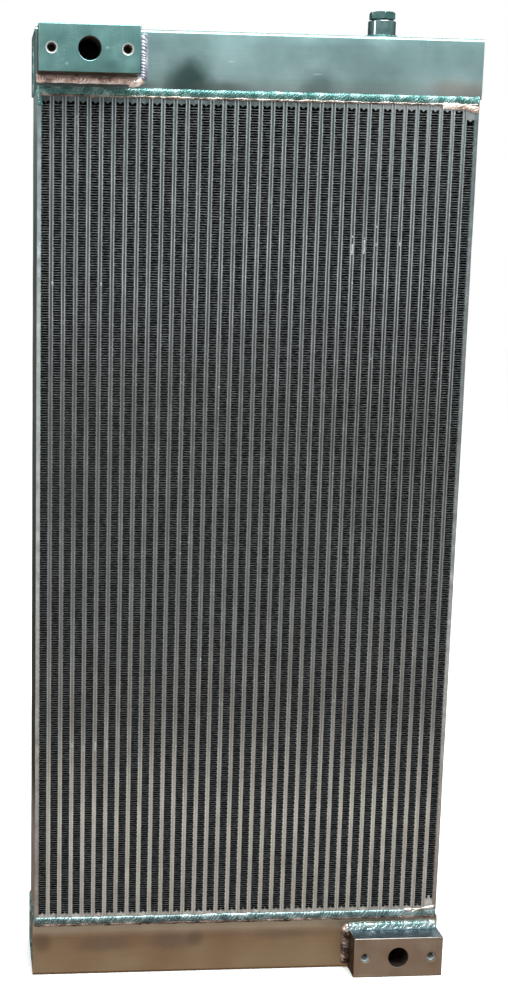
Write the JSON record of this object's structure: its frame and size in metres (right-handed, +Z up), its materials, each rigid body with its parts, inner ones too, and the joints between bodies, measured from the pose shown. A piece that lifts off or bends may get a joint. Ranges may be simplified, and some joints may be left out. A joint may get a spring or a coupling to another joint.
{
  "type": "hydraulic oil cooler",
  "caption": "Upright bar-and-plate aluminium oil cooler with welded end tanks, a two-bolt port block on each tank and a hex vent plug on a boss.",
  "frame": {"origin": "centre of the flat underside of the bottom tank", "axes": "+X to the right seen from the front, +Y to the back, +Z up; the port blocks face -Y"},
  "size_m": [0.517, 0.1561, 1.1686],
  "materials": {
    "core_aluminium": "dull brazed mill finish",
    "fin_aluminium": "thin brazed sheet, darkened by the furnace",
    "tank_aluminium": "satin rolled plate",
    "block_aluminium": "machined flat, fine satin",
    "weld_bead": "bright rippled weld",
    "boss_aluminium": "turned, bright",
    "seal_ring": "soft flat ring",
    "plug_steel": "zinc plated, smooth"
  },
  "bodies": {
    "cooler": {"core_matrix": "core_aluminium", "side_plate_left": "core_aluminium", "side_plate_right": "core_aluminium", "air_fin_01": "fin_aluminium", "air_fin_02": "fin_aluminium", "air_fin_03": "fin_aluminium", "air_fin_04": "fin_aluminium", "air_fin_05": "fin_aluminium", "air_fin_06": "fin_aluminium", "air_fin_07": "fin_aluminium", "air_fin_08": "fin_aluminium", "air_fin_09": "fin_aluminium", "air_fin_10": "fin_aluminium", "air_fin_11": "fin_aluminium", "air_fin_12": "fin_aluminium", "air_fin_13": "fin_aluminium", "air_fin_14": "fin_aluminium", "air_fin_15": "fin_aluminium", "air_fin_16": "fin_aluminium", "air_fin_17": "fin_aluminium", "air_fin_18": "fin_aluminium", "air_fin_19": "fin_aluminium", "air_fin_20": "fin_aluminium", "air_fin_21": "fin_aluminium", "air_fin_22": "fin_aluminium", "air_fin_23": "fin_aluminium", "air_fin_24": "fin_aluminium", "air_fin_25": "fin_aluminium", "air_fin_26": "fin_aluminium", "air_fin_27": "fin_aluminium", "air_fin_28": "fin_aluminium", "air_fin_29": "fin_aluminium", "air_fin_30": "fin_aluminium", "air_fin_31": "fin_aluminium", "air_fin_32": "fin_aluminium", "air_fin_33": "fin_aluminium", "air_fin_34": "fin_aluminium", "air_fin_35": "fin_aluminium", "air_fin_36": "fin_aluminium", "top_tank_shell": "tank_aluminium", "top_tank_cap_left": "tank_aluminium", "top_tank_cap_right": "tank_aluminium", "bottom_tank_shell": "tank_aluminium", "bottom_tank_cap_left": "tank_aluminium", "bottom_tank_cap_right": "tank_aluminium", "inlet_port_block": "block_aluminium", "outlet_port_block": "block_aluminium", "top_front_weld": "weld_bead", "top_back_weld": "weld_bead", "bottom_front_weld": "weld_bead", "bottom_back_weld": "weld_bead", "inlet_block_weld": "weld_bead", "outlet_block_weld": "weld_bead", "boss_weld": "weld_bead", "vent_boss": "boss_aluminium"},
    "seal_ring": {"plug_seal": "seal_ring"},
    "plug": {"vent_plug": "plug_steel"}
  },
  "joints": [
    {"name": "seal_rise", "type": "slide", "parent": "cooler", "child": "seal_ring", "axis": [0, 0, 1], "range_m": [0, 0.0135]},
    {"name": "plug_turn", "type": "hinge", "parent": "seal_ring", "child": "plug", "pos_m": [0.1425, -0.036, 1.1603], "axis": [0, 0, 1], "range_deg": [0, 3240]}
  ],
  "couplings": [
    {"joint": "seal_rise", "follows": "plug_turn", "m_per_rad": 0.00023873}
  ]
}
